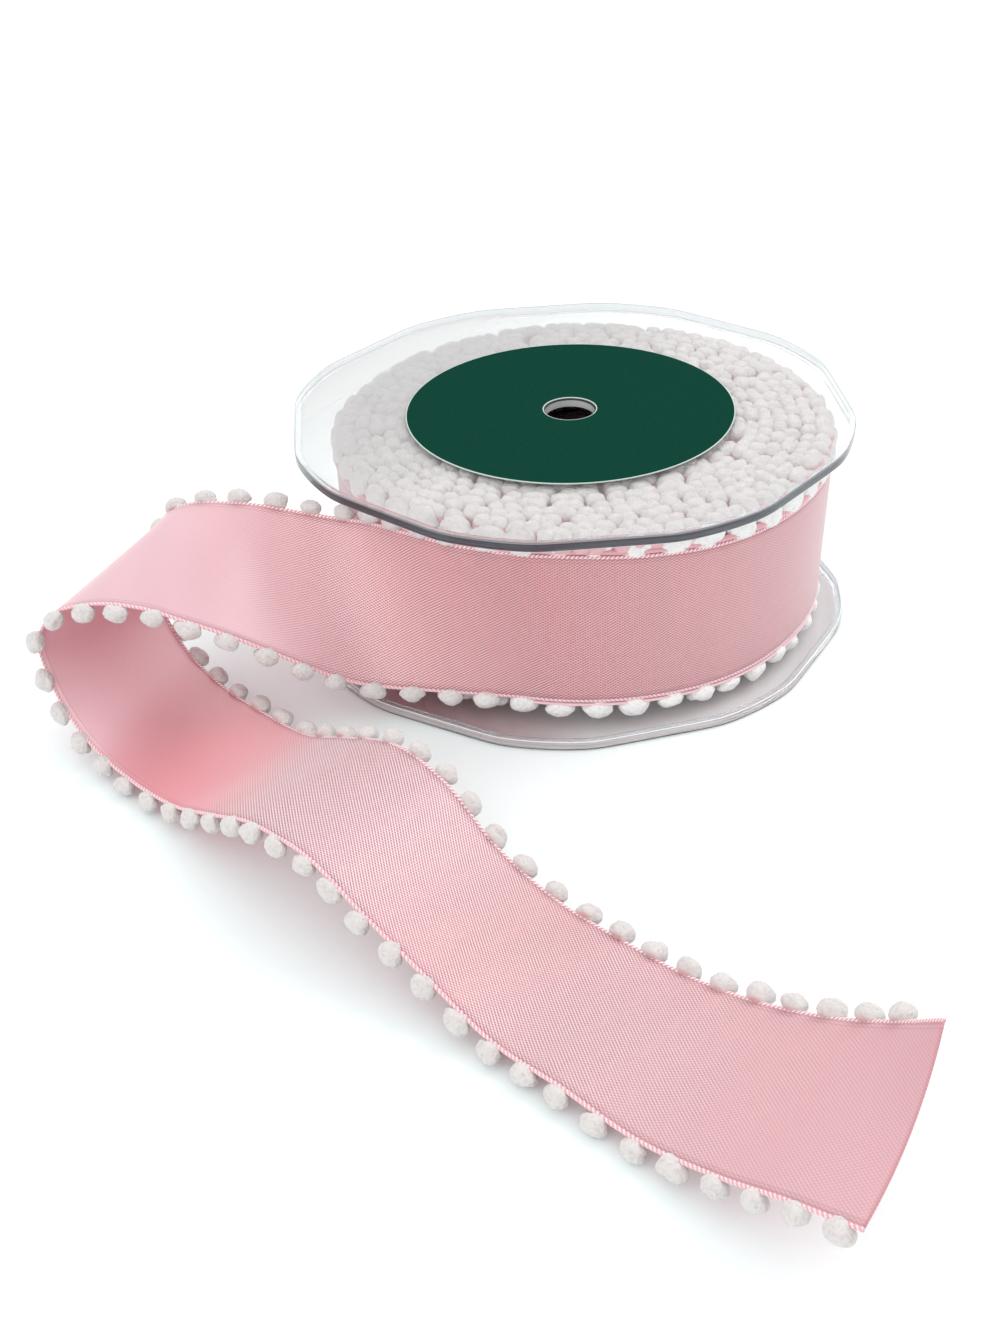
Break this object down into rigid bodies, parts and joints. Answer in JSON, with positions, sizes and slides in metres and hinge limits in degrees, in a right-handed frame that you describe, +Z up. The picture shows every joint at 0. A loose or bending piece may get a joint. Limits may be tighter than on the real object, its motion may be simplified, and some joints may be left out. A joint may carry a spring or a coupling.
{
  "type": "pompom-edge ribbon on a reel",
  "caption": "Satin ribbon with pompom edges, wound on a clear plastic reel lying flat, with its loose end folded over and run out along the table.",
  "frame": {"origin": "under the middle of the whole outline, on the surface that the reel rests on", "axes": "+Z up along the reel's axis, +Y the way that the camera looks from the loose end's side to the reel, +X to the right"},
  "size_m": [0.2006, 0.2974, 0.0546],
  "materials": {
    "clear_plastic": "clear, polished",
    "label_card": "satin printed card, bare",
    "pink_satin": "fine twill satin with roped edges",
    "white_yarn": "soft cut yarn"
  },
  "bodies": {
    "root": {"reel_flange_bottom": "clear_plastic", "reel_flange_top": "clear_plastic", "reel_hub": "clear_plastic", "reel_label": "label_card", "ribbon_winding": "pink_satin", "winding_pompoms_bottom": "white_yarn", "winding_pompoms_top": "white_yarn", "ribbon_tail": "pink_satin", "low_edge_pompoms_1": "white_yarn", "low_edge_pompoms_2": "white_yarn", "low_edge_pompoms_3": "white_yarn", "low_edge_pompoms_4": "white_yarn", "low_edge_pompoms_5": "white_yarn", "low_edge_pompoms_6": "white_yarn", "low_edge_pompoms_7": "white_yarn", "low_edge_pompoms_8": "white_yarn", "low_edge_pompoms_9": "white_yarn", "top_edge_pompoms_1": "white_yarn", "top_edge_pompoms_2": "white_yarn", "top_edge_pompoms_3": "white_yarn", "top_edge_pompoms_4": "white_yarn", "top_edge_pompoms_5": "white_yarn", "top_edge_pompoms_6": "white_yarn", "top_edge_pompoms_7": "white_yarn", "top_edge_pompoms_8": "white_yarn", "top_edge_pompoms_9": "white_yarn"}
  },
  "joints": []
}
